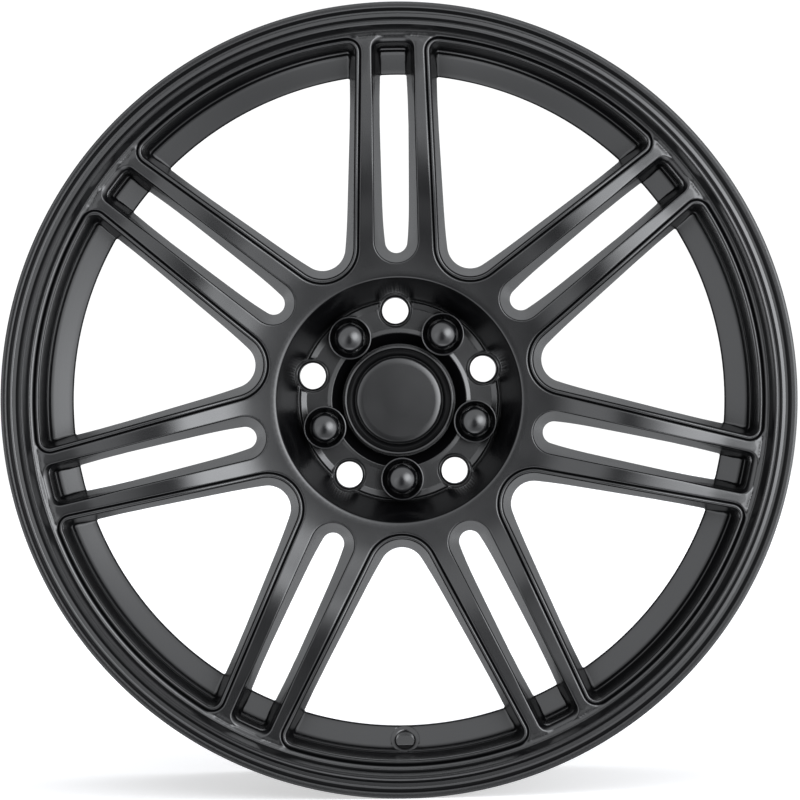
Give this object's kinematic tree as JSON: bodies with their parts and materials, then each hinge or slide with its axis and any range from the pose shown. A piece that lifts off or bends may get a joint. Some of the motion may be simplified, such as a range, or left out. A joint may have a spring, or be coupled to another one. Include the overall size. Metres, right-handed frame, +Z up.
{
  "type": "forged racing wheel rim",
  "caption": "Monoblock forged car wheel with twin spokes, stepped lip, centre cap, hub-centring ring and two-piece lug nuts.",
  "frame": {"origin": "centre of the hub mounting face, on the spin axis", "axes": "+Y along the spin axis towards the vehicle (the street side faces -Y), +Z up through a pair of spokes, +X to the right seen from the street side"},
  "size_m": [0.497, 0.242, 0.497],
  "materials": {
    "forging_paint": "satin black paint",
    "cap_shell": "satin black plastic",
    "cap_badge": "dark satin, blank",
    "spring_steel": "bright spring wire",
    "hub_ring_alloy": "machined",
    "nut_collar_steel": "black coated steel",
    "nut_steel": "dark satin coated steel"
  },
  "bodies": {
    "wheel": {"wheel_forging": "forging_paint", "hub_ring": "hub_ring_alloy"},
    "cap": {"centre_cap": "cap_shell", "cap_badge": "cap_badge", "cap_spring_ring": "spring_steel"},
    "collar_1": {"nut_collar_1": "nut_collar_steel", "nut_clip_1": "spring_steel"},
    "collar_2": {"nut_collar_2": "nut_collar_steel", "nut_clip_2": "spring_steel"},
    "collar_3": {"nut_collar_3": "nut_collar_steel", "nut_clip_3": "spring_steel"},
    "collar_4": {"nut_collar_4": "nut_collar_steel", "nut_clip_4": "spring_steel"},
    "collar_5": {"nut_collar_5": "nut_collar_steel", "nut_clip_5": "spring_steel"},
    "nut_1": {"lug_nut_1": "nut_steel"},
    "nut_2": {"lug_nut_2": "nut_steel"},
    "nut_3": {"lug_nut_3": "nut_steel"},
    "nut_4": {"lug_nut_4": "nut_steel"},
    "nut_5": {"lug_nut_5": "nut_steel"}
  },
  "joints": [
    {"name": "cap_pull", "type": "slide", "parent": "wheel", "child": "cap", "axis": [0, -1, 0], "range_m": [0, 0.012]},
    {"name": "nut_travel_1", "type": "slide", "parent": "wheel", "child": "collar_1", "axis": [0, -1, 0], "range_m": [0, 0.02]},
    {"name": "nut_turn_1", "type": "hinge", "parent": "collar_1", "child": "nut_1", "pos_m": [0.0284, 0, 0.0412], "axis": [0, -1, 0], "range_deg": [0, 4801]},
    {"name": "nut_travel_2", "type": "slide", "parent": "wheel", "child": "collar_2", "axis": [0, -1, 0], "range_m": [0, 0.02]},
    {"name": "nut_turn_2", "type": "hinge", "parent": "collar_2", "child": "nut_2", "pos_m": [-0.0304, 0, 0.0397], "axis": [0, -1, 0], "range_deg": [0, 4801]},
    {"name": "nut_travel_3", "type": "slide", "parent": "wheel", "child": "collar_3", "axis": [0, -1, 0], "range_m": [0, 0.02]},
    {"name": "nut_turn_3", "type": "hinge", "parent": "collar_3", "child": "nut_3", "pos_m": [-0.0472, 0, -0.0166], "axis": [0, -1, 0], "range_deg": [0, 4801]},
    {"name": "nut_travel_4", "type": "slide", "parent": "wheel", "child": "collar_4", "axis": [0, -1, 0], "range_m": [0, 0.02]},
    {"name": "nut_turn_4", "type": "hinge", "parent": "collar_4", "child": "nut_4", "pos_m": [0.0012, 0, -0.05], "axis": [0, -1, 0], "range_deg": [0, 4801]},
    {"name": "nut_travel_5", "type": "slide", "parent": "wheel", "child": "collar_5", "axis": [0, -1, 0], "range_m": [0, 0.02]},
    {"name": "nut_turn_5", "type": "hinge", "parent": "collar_5", "child": "nut_5", "pos_m": [0.0479, 0, -0.0143], "axis": [0, -1, 0], "range_deg": [0, 4801]}
  ],
  "couplings": [
    {"joint": "nut_turn_1", "follows": "nut_travel_1", "rad_per_m": 4188.8},
    {"joint": "nut_turn_2", "follows": "nut_travel_2", "rad_per_m": 4188.8},
    {"joint": "nut_turn_3", "follows": "nut_travel_3", "rad_per_m": 4188.8},
    {"joint": "nut_turn_4", "follows": "nut_travel_4", "rad_per_m": 4188.8},
    {"joint": "nut_turn_5", "follows": "nut_travel_5", "rad_per_m": 4188.8}
  ]
}
